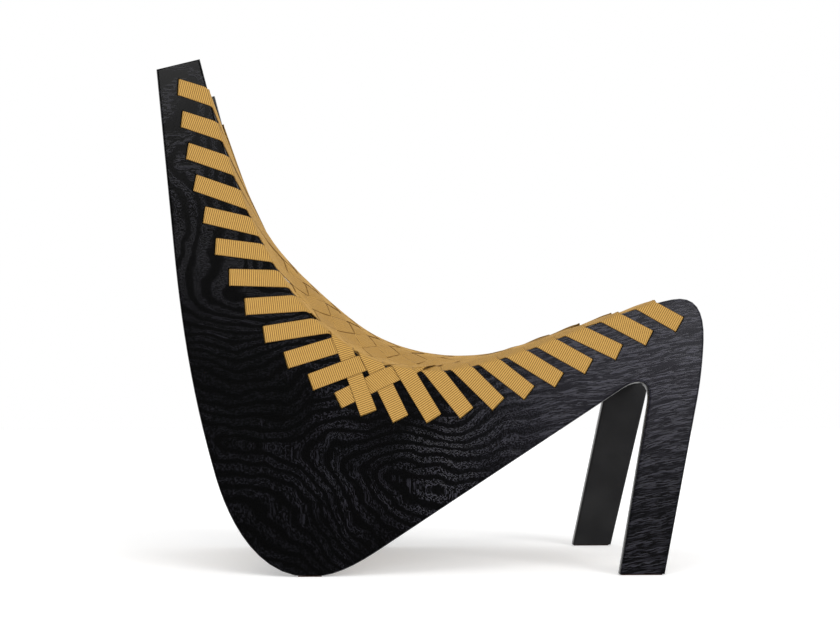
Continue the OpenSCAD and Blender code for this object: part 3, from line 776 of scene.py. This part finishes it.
# %% [markdown]
# ## How the weave settles on the panels
#
# In the frame the woven seat rises from the panel's edge at once, as a plain arch. Real
# webbing lies on the wood first and lifts off slowly, so a strap is lowered towards the
# line of the edge, most where the arch is low and not at all in the middle of the seat.
#
# Beside the panels the straps overlap, pulled together by their turn over the edge. There
# they are drawn a little wider, which closes the slits between them. Over the front half of
# the seat they also lap like shingles, so each is tilted with its front side up.

# %% Where a strap lies on the seat
HALF_WIDTH = max(abs(c) for c in (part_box("panel_near")[0][1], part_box("panel_far")[1][1]))
POINTS_AT_ONCE = 4000


def eased(value, low, high):
    """0 below low, 1 above high and smooth between."""
    t = np.clip((value - low) / (high - low), 0.0, 1.0)
    return t * t * (3 - 2 * t)


def hump(value, a, b, c, d):
    """0 up to a, 1 from b to c, and 0 again from d."""
    return eased(value, a, b) * (1 - eased(value, c, d))


def seat_places(grid):
    """Each point's nearest place on the edge line, its run along the chair and its arch.

    The arch is 0 over the outer side of both panels and 1 halfway between them.
    """
    flat = grid[:, :, [0, 2]]
    parts = np.array_split(flat.reshape(-1, 2), 1 + flat.size // 2 // POINTS_AT_ONCE)
    near = np.concatenate([
        ((part[:, None] - rim[None]) ** 2).sum(axis=2).argmin(axis=1) for part in parts
    ]).reshape(flat.shape[:2])
    run = near * RIM_STEP + ((flat - rim[near]) * rim_ahead[near]).sum(axis=2)
    half = HALF_WIDTH - rim[near, 1] * math.tan(LEAN)
    share = np.clip((grid[:, :, 1] / half + 1) / 2, 0.0, 1.0)
    return near, run, 4 * share * (1 - share)


print("half the width at the floor:", round(HALF_WIDTH, 4))

# %% Settle, spread and tilt
RISE = 0.049
RISE_AT = 0.59
RISE_LENGTH = 0.235
RISE_POWER = 2.5
SETTLING = 0.8
SETTLED_ARCH = (0.4, 0.8)
SPREAD = 0.4
SPREAD_ARCH = (0.0, 0.06, 0.6, 0.95)
TILT = 0.005
TILT_LIFT = 0.4
TILT_RUN = (0.62, 0.76)
TILT_ARCH = (0.0, 0.08, 0.25, 0.7)


def lowered(grid, near, run, arch):
    """The grid sunk towards the edge line, square to that line."""
    rise = RISE * np.exp(-np.abs((run - RISE_AT) / RISE_LENGTH) ** RISE_POWER)
    drop = rise * arch * (1 - arch ** SETTLING) * (1 - eased(arch, *SETTLED_ARCH))
    ahead = rim_ahead[near]
    sunk = grid.copy()
    sunk[:, :, 0] += ahead[:, :, 1] * drop
    sunk[:, :, 2] -= ahead[:, :, 0] * drop
    return sunk


def spread(grid, arch):
    """The grid drawn wider about its middle column, beside the panels."""
    wide = 1 + SPREAD * hump(arch, *SPREAD_ARCH)
    middle = grid[:, len(COLUMN_SHARES) // 2][:, None]
    return middle + (grid - middle) * wide[:, :, None]


def settled(grid):
    """The grid as it lies beside the panels: lowered, spread and tilted."""
    near, run, arch = seat_places(grid)
    facing = (grid[:, -1, 0] - grid[:, 0, 0]) / STRAP_WIDTH
    across = facing[:, None] * (2 * COLUMN_SHARES - 1)
    tilt = TILT * eased(run, *TILT_RUN) * hump(arch, *TILT_ARCH)
    laid = spread(lowered(grid, near, run, arch), arch)
    laid[:, :, 2] += tilt * (TILT_LIFT + across)
    return laid


# %% [markdown]
# ## Making a strap
#
# Both faces are raised from the middle layer by half the thickness, which swells and shrinks
# with the ribs and thins out at the edges. Each row is then one loop round the strap, and
# faces join each loop to the next. No operator follows such a folded ribbon with its ribs,
# so this one mesh is built from its rows. Its own coordinates go in as a UV map.

# %% Make a strap
HALF_T = 0.0007
RIB = 0.00028
LEAST_NORM = 1e-12
EDGE_HEIGHTS = [0.0, 0.7, 1.0]
COLUMN_HEIGHTS = np.array(EDGE_HEIGHTS + [1.0] * len(MIDDLE_SHARES) + EDGE_HEIGHTS[::-1])


def ways_out(grid):
    """Unit vectors square to the middle layer."""
    out = np.cross(np.gradient(grid, axis=0), np.gradient(grid, axis=1))
    return out / np.maximum(np.linalg.norm(out, axis=2, keepdims=True), LEAST_NORM)


def round_about(upper, lower):
    """Rows that run over the upper face and come back along the lower one."""
    return np.concatenate([upper, lower[:, -2:0:-1]], axis=1)


def tube(name, loops):
    """A closed mesh from rows of points that each go once round it."""
    rows, n = loops.shape[:2]
    r, c = np.meshgrid(np.arange(rows - 1), np.arange(n), indexing="ij")
    d = (c + 1) % n
    quads = np.stack([r * n + c, r * n + d, (r + 1) * n + d, (r + 1) * n + c], axis=2)
    quads = quads.reshape(-1, 4).tolist()
    ends = [list(range(n))[::-1], [(rows - 1) * n + k for k in range(n)]]
    mesh = bpy.data.meshes.new(name)
    mesh.from_pydata(loops.reshape(-1, 3).tolist(), [], quads + ends)
    mesh.polygons.foreach_set("use_smooth", [True] * len(quads) + [False] * len(ends))
    return mesh


def lay_map(mesh, along, across):
    """Gives each corner of the mesh its metres along and across the strap."""
    layer = mesh.uv_layers.new(name=STRAP_MAP)
    corner = np.zeros(len(mesh.loops), np.int64)
    mesh.loops.foreach_get("vertex_index", corner)
    where = np.stack([along.reshape(-1), across.reshape(-1)], axis=1)
    layer.uv.foreach_set("vector", where[corner].astype(np.float32).ravel())


def make_strap(name):
    grid, runs = laid_out(*sides[name])
    grid = settled(softened(grid))
    height = (HALF_T + RIB * np.cos(runs * math.tau / RIB_PITCH)) * COLUMN_HEIGHTS
    raised = ways_out(grid) * height[:, :, None]
    mesh = tube(name.replace("strap_", "webbing_"), round_about(grid + raised, grid - raised))
    across = np.broadcast_to((COLUMN_SHARES - 0.5) * STRAP_WIDTH, runs.shape)
    lay_map(mesh, round_about(runs, runs), round_about(across, across))
    bm = bmesh.new()
    bm.from_mesh(mesh)
    bmesh.ops.recalc_face_normals(bm, faces=bm.faces)
    bm.to_mesh(mesh)
    bm.free()
    return piece_of(mesh, mesh.name, [webbing], [name])


straps = [make_strap(name) for name in sides]
counts = [len(o.data.polygons) for o in straps]
print("straps:", len(straps), "faces each:", min(counts), "to", max(counts))

# %% [markdown]
# ## Rails and clamp bars
#
# The rails are black-stained wood, and the clamp bars that hold the tails of the straps are
# thin strips of the same. The veneer's group serves both: its places are turned, so that
# the grain runs along each piece.

# %% Rail material
RAIL_RELIEF = (0.0002, 0.6)


def make_rail_material(name, order):
    """order says which axis of the piece stands for x, y and z in the veneer."""
    material, p, shader = new_material(name, roughness=0.5, specular=0.35)
    # The group's painted sheen comes along and follows the turned places.
    places = dict(zip("xyz", p.split(p.place())))
    turned = p.stretched([places[axis] for axis in order], (1, 1, 1))
    show_pattern(p, shader, p.use(veneer_group, turned), *RAIL_RELIEF)
    return material


rail_wood = make_rail_material("stained_rail", "yxz")
bar_wood = make_rail_material("stained_bar", "zyx")
print("rails and bars:", rail_wood.name, bar_wood.name)

# %% [markdown]
# The four flat rails have their long edges broken. A bevel of three steps on just those
# edges does it, once the triangles of the frame are dissolved into flat faces. The top rail
# is a round rod and needs only its shading, and so do the clamp bars.

# %% Rails and bars
ROUNDING = 0.002
ROUNDING_STEPS = 3
LONG = 0.2
SHARP = math.radians(60)
SAME_FACE = math.radians(0.5)
RAIL_CREASE = 40
BAR_CREASE = 30


def make_rail(node):
    bm = welded(node)
    bmesh.ops.dissolve_limit(bm, angle_limit=SAME_FACE, verts=bm.verts, edges=bm.edges)
    long_edges = [
        e for e in bm.edges if e.calc_length() > LONG and e.calc_face_angle(0.0) > SHARP
    ]
    bmesh.ops.bevel(
        bm, geom=long_edges, offset=ROUNDING, segments=ROUNDING_STEPS, profile=0.5,
        affect="EDGES", material=-1,
    )
    bmesh.ops.recalc_face_normals(bm, faces=bm.faces)
    smooth_but_sharp(bm, RAIL_CREASE)
    return piece_from(bm, "cross_" + node, [rail_wood], [node])


def make_plain(node, prefix, material, limit):
    """A piece that keeps the frame's shape and only gets its shading and material."""
    bm = welded(node)
    smooth_but_sharp(bm, limit)
    return piece_from(bm, prefix + node, [material], [node])


rails = [make_rail(node) for node in ("back_rail", "heel_rail", "seat_rail", "nose_rail")]
rails.append(make_plain("top_rail", "round_", rail_wood, RAIL_CREASE))
print("rails:", faces_of(rails))
bars = [
    make_plain(node, "bar_", bar_wood, BAR_CREASE)
    for node in nodes
    if "clamp_near" in node or "clamp_far" in node
]
print("clamp bars:", faces_of(bars))

# %% [markdown]
# ## Screws
#
# Each screw in the frame is a plain pin with a plain head. Its place and axis are kept. The
# head is turned as a low dome with a six-sided socket. A profile is spun round the axis,
# and then the socket's round wall is pulled in to six flats.

# %% Screw material
STEEL = (0.16, 0.16, 0.165, 1.0)
STEEL_BRIGHT = (0.3, 0.3, 0.31, 1.0)
STEEL_GLOSS = (0.28, 0.5)
STEEL_NOISE = (900.0, 3.0, 0.6)
STEEL_RELIEF = (0.00005, 0.4)


def make_steel_material():
    material, p, shader = new_material("blackened_steel", roughness=0.35, specular=0.5)
    marks = p.noise(p.place(), *STEEL_NOISE)
    p.feed(shader["Base Color"], p.mix(p.span(marks, *NOISE_CORE), STEEL, STEEL_BRIGHT))
    p.feed(shader["Roughness"], p.span(marks, *NOISE_CORE, *STEEL_GLOSS))
    p.feed(shader["Normal"], p.bump(marks, *STEEL_RELIEF))
    shader["Metallic"].default_value = 1.0
    return material


steel = make_steel_material()
print("screws:", steel.name)

# %% One screw
HEAD_R = 0.004
HEAD_T = 0.002
SHANK_R = 0.002
POINT_LENGTH = 0.002
SOCKET_R = 0.0018
SOCKET_DEEP = 0.0012
SOCKET_SIDES = 6
POINT_SHARE = 0.5
DOME = [(1.0, 0.35), (0.9, 0.75), (0.7, 1.0)]
TURNS = 24


def joined_to(seed):
    """The corner and all that edges join to it."""
    group, held = [seed], {seed}
    for v in group:
        for e in v.link_edges:
            other = e.other_vert(v)
            if other not in held:
                held.add(other)
                group.append(other)
    return group


def screw_profile(length):
    """Half of a screw's section, as radius and height, from its tip to its socket."""
    neck, deep = length - HEAD_T, length - SOCKET_DEEP
    point = [(0.0, 0.0), (SHANK_R * POINT_SHARE, 0.0), (SHANK_R, POINT_LENGTH)]
    dome = [(HEAD_R * r, neck + HEAD_T * t) for r, t in DOME]
    socket = [(SOCKET_R, length), (SOCKET_R, deep), (0.0, deep)]
    return point + [(SHANK_R, neck), (HEAD_R, neck)] + dome + socket


def press_socket(corners, length):
    """Pulls the socket's round wall in to flat sides."""
    half_side = math.pi / SOCKET_SIDES
    for v in corners:
        at_wall = abs(math.hypot(v.co.x, v.co.y) - SOCKET_R) < WELD
        if at_wall and v.co.z > length - SOCKET_DEEP - WELD:
            part = math.atan2(v.co.y, v.co.x) % (2 * half_side) - half_side
            pull = math.cos(half_side) / math.cos(part)
            v.co.x *= pull
            v.co.y *= pull


def add_screw(bm, tip, way, length):
    """A screw from its tip along way. length runs to the top of its head."""
    verts = [bm.verts.new((r, 0.0, z)) for r, z in screw_profile(length)]
    edges = [bm.edges.new(pair) for pair in zip(verts, verts[1:])]
    bmesh.ops.spin(
        bm, geom=verts + edges, cent=(0, 0, 0), axis=(0, 0, 1), angle=math.tau,
        steps=TURNS, use_merge=True,
    )
    corners = joined_to(verts[0])
    press_socket(corners, length)
    turn = way.to_track_quat("Z", "Y").to_matrix().to_4x4()
    bmesh.ops.transform(bm, matrix=Matrix.Translation(tip) @ turn, verts=corners)


# %% [markdown]
# All the screws of one side are one node in the frame. Its separate pins are told apart, and
# each gives the tip and the length of one new screw, along the lean of its panel.

# %% All screws
SCREW_CREASE = 35


def islands(bm):
    """The separate shapes in a bmesh, as lists of corners."""
    held, found = set(), []
    for v in bm.verts:
        if v not in held:
            found.append(joined_to(v))
            held.update(found[-1])
    return found


def make_screws(node, side):
    """side is -1 for the near panel and 1 for the far one."""
    source = welded(node)
    inward = Vector((0.0, -side * math.cos(LEAN), -math.sin(LEAN)))
    bm = bmesh.new()
    for group in islands(source):
        depths = [v.co.dot(inward) for v in group]
        middle = sum((v.co for v in group), Vector()) / len(group)
        axis = middle - inward * middle.dot(inward)
        add_screw(bm, axis + inward * min(depths), inward, max(depths) - min(depths))
    source.free()
    bmesh.ops.remove_doubles(bm, verts=bm.verts, dist=WELD)
    bmesh.ops.recalc_face_normals(bm, faces=bm.faces)
    smooth_but_sharp(bm, SCREW_CREASE)
    return piece_from(bm, node + "_turned", [steel], [node])


screws = [make_screws("clamp_screws_near", -1), make_screws("clamp_screws_far", 1)]
print("screws:", faces_of(screws))

# %% [markdown]
# ## Dowels and pads
#
# The dowels are hidden in their bores and the pads are plain slips under the feet. Their
# shapes in the frame are right, so they stay and only get their materials.

# %% Dowel and pad materials
BEECH = (0.42, 0.27, 0.15, 1.0)
BEECH_PALE = (0.52, 0.36, 0.21, 1.0)
BEECH_PER_METRE = (900.0, 40.0, 900.0)
BEECH_RELIEF = (0.0001, 0.5)
PAD = (0.05, 0.025, 0.016, 1.0)
PAD_PALE = (0.11, 0.06, 0.04, 1.0)
PAD_NOISE = (1400.0, 4.0, 0.7)
PAD_RELIEF = (0.0004, 0.7)


def make_beech_material():
    material, p, shader = new_material("beech_dowel", roughness=0.6, specular=0.3)
    fibres = p.noise(p.stretched(p.split(p.place()), BEECH_PER_METRE), 1.0)
    p.feed(shader["Base Color"], p.mix(p.span(fibres, *NOISE_CORE), BEECH, BEECH_PALE))
    p.feed(shader["Normal"], p.bump(fibres, *BEECH_RELIEF))
    return material


def make_pad_material():
    material, p, shader = new_material("brown_pad", roughness=0.9, specular=0.2)
    felt = p.noise(p.place(), *PAD_NOISE)
    p.feed(shader["Base Color"], p.mix(p.span(felt, *NOISE_CORE), PAD, PAD_PALE))
    p.feed(shader["Normal"], p.bump(felt, *PAD_RELIEF))
    return material


beech = make_beech_material()
pad = make_pad_material()
print("dowels and pads:", beech.name, pad.name)

# %% Dowels and pads
def dress(node, material):
    """Gives a node that stays its finish."""
    obj = nodes[node]
    if obj.material_slots:
        for held in obj.material_slots:
            held.material = material
    else:
        obj.data.materials.append(material)


dowels = [node for node in nodes if node.endswith("_dowels")]
pads = [node for node in nodes if "_glide_" in node]
for node in dowels:
    dress(node, beech)
for node in pads:
    dress(node, pad)
print("stay as they are:", dowels + pads)

# %% [markdown]
# ## Floor and background
#
# The photograph's studio is white all round. The floor is a large white plane that glows a
# little, as if lit from everywhere, and it still takes the chair's shadow. It is hidden
# from gloss, in which it would turn the panels grey, and it does not ride on the chair's
# root, so it is no part of the chair.

# %% Floor
FLOOR_SIZE = 12.0
FLOOR_NOISE = (3.0, 2.0)
FLOOR_WHITE = (0.95, 0.95, 0.95, 1.0)
FLOOR_DULL = (0.93, 0.93, 0.93, 1.0)
FLOOR_GLOW = 0.34
WHITE = (1.0, 1.0, 1.0, 1.0)


def make_floor():
    bm = bmesh.new()
    bmesh.ops.create_grid(bm, x_segments=1, y_segments=1, size=FLOOR_SIZE)
    mesh = bpy.data.meshes.new("floor")
    bm.to_mesh(mesh)
    bm.free()
    obj = bpy.data.objects.new("floor", mesh)
    bpy.context.scene.collection.objects.link(obj)
    material, p, shader = new_material("studio_floor", roughness=0.9, specular=0.1)
    cloudy = p.noise(p.place(), *FLOOR_NOISE)
    p.feed(shader["Base Color"], p.mix(cloudy, FLOOR_DULL, FLOOR_WHITE))
    shader["Emission Color"].default_value = WHITE
    shader["Emission Strength"].default_value = FLOOR_GLOW
    mesh.materials.append(material)
    obj.visible_glossy = False
    return obj


floor = make_floor()
print("floor:", floor.name)

# %% [markdown]
# The camera sees plain white behind the chair, and the chair is lit by a dimmer sky. Gloss
# sees the white backdrop too, but only a dark room behind the camera, which is what keeps
# the stained panels black.

# %% Background
SKY_LIGHT = 0.48
ROOM_SHINE = 0.012
BACKDROP_FROM = 0.0
BACKDROP_FULL = 0.4


def make_background():
    world = bpy.data.worlds.new("studio")
    bpy.context.scene.world = world
    world.use_nodes = True
    tree = world.node_tree
    tree.nodes.clear()
    p = Patch(tree)
    ray = tree.nodes.new("ShaderNodeLightPath").outputs
    way = tree.nodes.new("ShaderNodeTexCoord").outputs["Generated"]
    backdrop = p.span(p.split(way)[1], BACKDROP_FROM, BACKDROP_FULL, ROOM_SHINE, 1.0)
    glossy = ray["Is Glossy Ray"]
    lit = p.times(p.minus(1.0, glossy), SKY_LIGHT)
    other = p.plus(lit, p.times(glossy, backdrop))
    shader = tree.nodes.new("ShaderNodeBackground")
    shader.inputs["Color"].default_value = WHITE
    p.feed(shader.inputs["Strength"], p.math("MAXIMUM", ray["Is Camera Ray"], other))
    out = tree.nodes.new("ShaderNodeOutputWorld")
    tree.links.new(shader.outputs[0], out.inputs["Surface"])
    return world


world = make_background()
bpy.context.scene.view_settings.view_transform = "Standard"
print("background:", world.name)

# %% [markdown]
# ## Lights
#
# Three suns stand for large soft lamps. Their wide discs blur the shadows: a key light from
# the right of the camera, a fill from the upper left that models the straps, and a faint
# one overhead.

# %% Lights
SUNS = {
    "key_right": ((2.11, -3.97, 2.19), 26.0, 1.25),
    "upper_left": ((-0.78, -3.52, 3.46), 40.0, 0.92),
    "overhead": ((0.3, 0.6, 4.0), 70.0, 0.2),
}


def make_sun(name, origin, softness, power):
    """A far, soft light that shines from origin towards the chair. softness is in degrees."""
    light = bpy.data.lights.new(name, "SUN")
    light.angle = math.radians(softness)
    light.energy = power
    obj = bpy.data.objects.new(name, light)
    bpy.context.scene.collection.objects.link(obj)
    obj.location = origin
    obj.rotation_euler = (-Vector(origin)).to_track_quat("-Z", "Y").to_euler()
    return obj


suns = [make_sun(name, *values) for name, values in SUNS.items()]
print("lights:", [(sun.name, round(sun.data.energy, 2)) for sun in suns])

# %% [markdown]
# ## Camera
#
# The camera stands where the photograph was taken from: low, a little to the left of the
# chair's middle, turned slightly to the right and up. The numbers were fitted until the
# outline of the chair lay on that of the photograph.

# %% Camera
CAMERA_PLACE = (-0.16185, -3.1900, 0.3051)
CAMERA_UP = 2.7279
CAMERA_RIGHT = 2.8256
CAMERA_LENS = 72.857


def make_camera():
    camera = bpy.data.cameras.new("camera")
    camera.lens = CAMERA_LENS
    obj = bpy.data.objects.new("camera", camera)
    bpy.context.scene.collection.objects.link(obj)
    obj.location = CAMERA_PLACE
    obj.rotation_euler = (math.radians(90 + CAMERA_UP), 0.0, math.radians(-CAMERA_RIGHT))
    bpy.context.scene.camera = obj
    return obj


camera = make_camera()
print("camera:", camera.name, "lens", round(camera.data.lens, 1))
